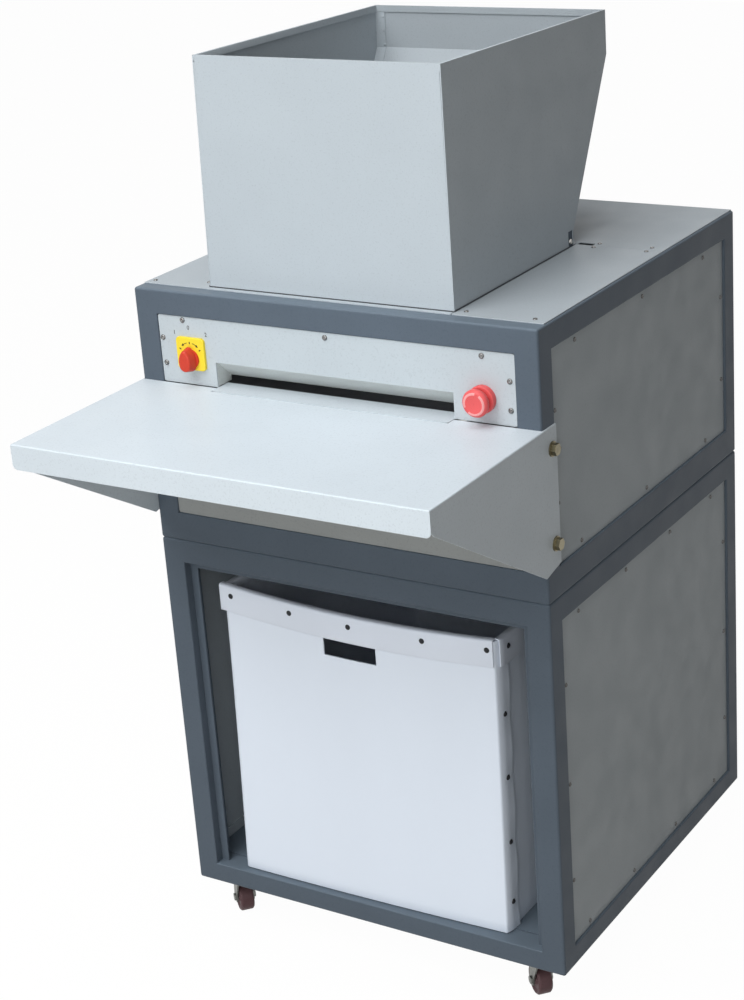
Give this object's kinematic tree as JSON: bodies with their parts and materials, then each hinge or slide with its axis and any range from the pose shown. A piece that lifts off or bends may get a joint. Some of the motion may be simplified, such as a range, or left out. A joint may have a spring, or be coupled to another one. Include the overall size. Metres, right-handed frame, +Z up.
{
  "type": "paper shredder",
  "caption": "Free-standing cross-cut paper shredder on casters: tube-frame cabinet with feed hopper, feed table, throat, meshing cutters, gear motor and pull-out waste bin",
  "frame": {"origin": "on the floor, in the middle of the machine's width and of its depth with the table", "axes": "X to the right seen from the feed table, Y to the rear, Z up"},
  "size_m": [0.697, 0.9926, 1.431],
  "materials": {
    "frame_paint": "satin dark blue-grey paint",
    "panel_coat": "light grey powder coat, fine texture",
    "bare_steel": "rolled plate",
    "cutter_steel": "hardened and ground",
    "zinc_bolt": "yellow zinc plate",
    "switch_yellow": "moulded",
    "switch_red": "moulded",
    "stop_collar": "moulded",
    "stop_red": "moulded",
    "dark_plastic": "moulded",
    "gearbox_iron": "as cast, painted",
    "motor_paint": "satin paint",
    "box_grey": "satin paint",
    "bin_plastic": "fluted sheet, slightly translucent",
    "caster_zinc": "bright zinc plate",
    "wheel_brown": "moulded tread"
  },
  "bodies": {
    "cabinet": {"upper_frame_posts": "frame_paint", "upper_frame_top_rails": "frame_paint", "upper_frame_base_rails": "frame_paint", "lower_frame_posts": "frame_paint", "lower_frame_top_rails": "frame_paint", "lower_frame_base_rails": "frame_paint", "opening_stop_strips": "frame_paint", "panel_ledges": "panel_coat", "upper_side_panels": "panel_coat", "upper_rear_panel": "panel_coat", "front_panel": "panel_coat", "front_lower_panel": "panel_coat", "top_left_panel": "panel_coat", "top_right_panel": "panel_coat", "top_rear_panel": "panel_coat", "lower_side_panels": "panel_coat", "lower_rear_panel": "panel_coat", "floor_panel": "panel_coat", "hopper_shell": "panel_coat", "hopper_back": "panel_coat", "feed_table": "panel_coat", "feed_hood": "panel_coat", "infeed_guides": "panel_coat", "base_plate": "bare_steel", "cutter_side_plates": "bare_steel", "discharge_chute": "bare_steel", "stripper_combs": "cutter_steel", "cutter_bearings": "cutter_steel", "table_bolts": "zinc_bolt", "switch_plate": "switch_yellow", "stop_button_collar": "stop_collar", "control_contact_blocks": "dark_plastic", "cable_gland": "dark_plastic", "gearbox": "gearbox_iron", "motor": "motor_paint", "control_box": "box_grey", "caster_plates": "caster_zinc"},
    "bin": {"bin_body": "bin_plastic", "bin_rim": "bin_plastic"},
    "switch": {"switch_knob": "switch_red"},
    "stop_plunger": {"stop_button_plunger": "stop_red"},
    "stop_head": {"stop_button_head": "stop_red"},
    "front_cutter": {"front_cutter_shaft": "cutter_steel", "front_cutter_stack": "cutter_steel", "front_timing_gear": "cutter_steel"},
    "rear_cutter": {"rear_cutter_shaft": "cutter_steel", "rear_cutter_stack": "cutter_steel", "rear_timing_gear": "cutter_steel", "drive_gear": "cutter_steel"},
    "pinion": {"motor_pinion": "cutter_steel"},
    "fork_front_left": {"caster_fork_front_left": "caster_zinc"},
    "wheel_front_left": {"caster_wheel_front_left": "wheel_brown"},
    "fork_front_right": {"caster_fork_front_right": "caster_zinc"},
    "wheel_front_right": {"caster_wheel_front_right": "wheel_brown"},
    "fork_rear_left": {"caster_fork_rear_left": "caster_zinc"},
    "wheel_rear_left": {"caster_wheel_rear_left": "wheel_brown"},
    "fork_rear_right": {"caster_fork_rear_right": "caster_zinc"},
    "wheel_rear_right": {"caster_wheel_rear_right": "wheel_brown"}
  },
  "joints": [
    {"name": "bin_slide", "type": "slide", "parent": "cabinet", "child": "bin", "axis": [0, -1, 0], "range_m": [0, 0.56]},
    {"name": "switch_turn", "type": "hinge", "parent": "cabinet", "child": "switch", "pos_m": [-0.2425, -0.18925, 0.989], "axis": [0, 1, 0], "range_deg": [-60, 60]},
    {"name": "stop_press", "type": "slide", "parent": "cabinet", "child": "stop_plunger", "axis": [0, 1, 0], "range_m": [0, 0.006], "stiffness_N_per_m": 400},
    {"name": "stop_twist", "type": "hinge", "parent": "stop_plunger", "child": "stop_head", "pos_m": [0.2485, -0.18925, 0.983], "axis": [0, -1, 0], "range_deg": [-30, 0], "stiffness_Nm_per_rad": 0.02},
    {"name": "rear_cutter_spin", "type": "hinge", "parent": "cabinet", "child": "rear_cutter", "pos_m": [0, 0.02175, 0.86], "axis": [1, 0, 0], "continuous": true},
    {"name": "front_cutter_spin", "type": "hinge", "parent": "cabinet", "child": "front_cutter", "pos_m": [0, -0.06025, 0.86], "axis": [1, 0, 0], "continuous": true},
    {"name": "pinion_spin", "type": "hinge", "parent": "cabinet", "child": "pinion", "pos_m": [0.252, 0.14861, 0.81383], "axis": [1, 0, 0], "continuous": true},
    {"name": "swivel_front_left", "type": "hinge", "parent": "cabinet", "child": "fork_front_left", "pos_m": [-0.2785, -0.14725, 0.066], "axis": [0, 0, 1], "continuous": true},
    {"name": "roll_front_left", "type": "hinge", "parent": "fork_front_left", "child": "wheel_front_left", "pos_m": [-0.29039, -0.13654, 0.025], "axis": [0.6691, 0.7431, 0], "continuous": true},
    {"name": "swivel_front_right", "type": "hinge", "parent": "cabinet", "child": "fork_front_right", "pos_m": [0.2785, -0.14725, 0.066], "axis": [0, 0, 1], "continuous": true},
    {"name": "roll_front_right", "type": "hinge", "parent": "fork_front_right", "child": "wheel_front_right", "pos_m": [0.26661, -0.13654, 0.025], "axis": [0.6691, 0.7431, 0], "continuous": true},
    {"name": "swivel_rear_left", "type": "hinge", "parent": "cabinet", "child": "fork_rear_left", "pos_m": [-0.2495, 0.42075, 0.066], "axis": [0, 0, 1], "continuous": true},
    {"name": "roll_rear_left", "type": "hinge", "parent": "fork_rear_left", "child": "wheel_rear_left", "pos_m": [-0.26139, 0.43146, 0.025], "axis": [0.6691, 0.7431, 0], "continuous": true},
    {"name": "swivel_rear_right", "type": "hinge", "parent": "cabinet", "child": "fork_rear_right", "pos_m": [0.2495, 0.42075, 0.066], "axis": [0, 0, 1], "continuous": true},
    {"name": "roll_rear_right", "type": "hinge", "parent": "fork_rear_right", "child": "wheel_rear_right", "pos_m": [0.23761, 0.43146, 0.025], "axis": [0.6691, 0.7431, 0], "continuous": true}
  ],
  "couplings": [
    {"joint": "front_cutter_spin", "follows": "rear_cutter_spin", "ratio": -1},
    {"joint": "pinion_spin", "follows": "rear_cutter_spin", "ratio": -2}
  ]
}
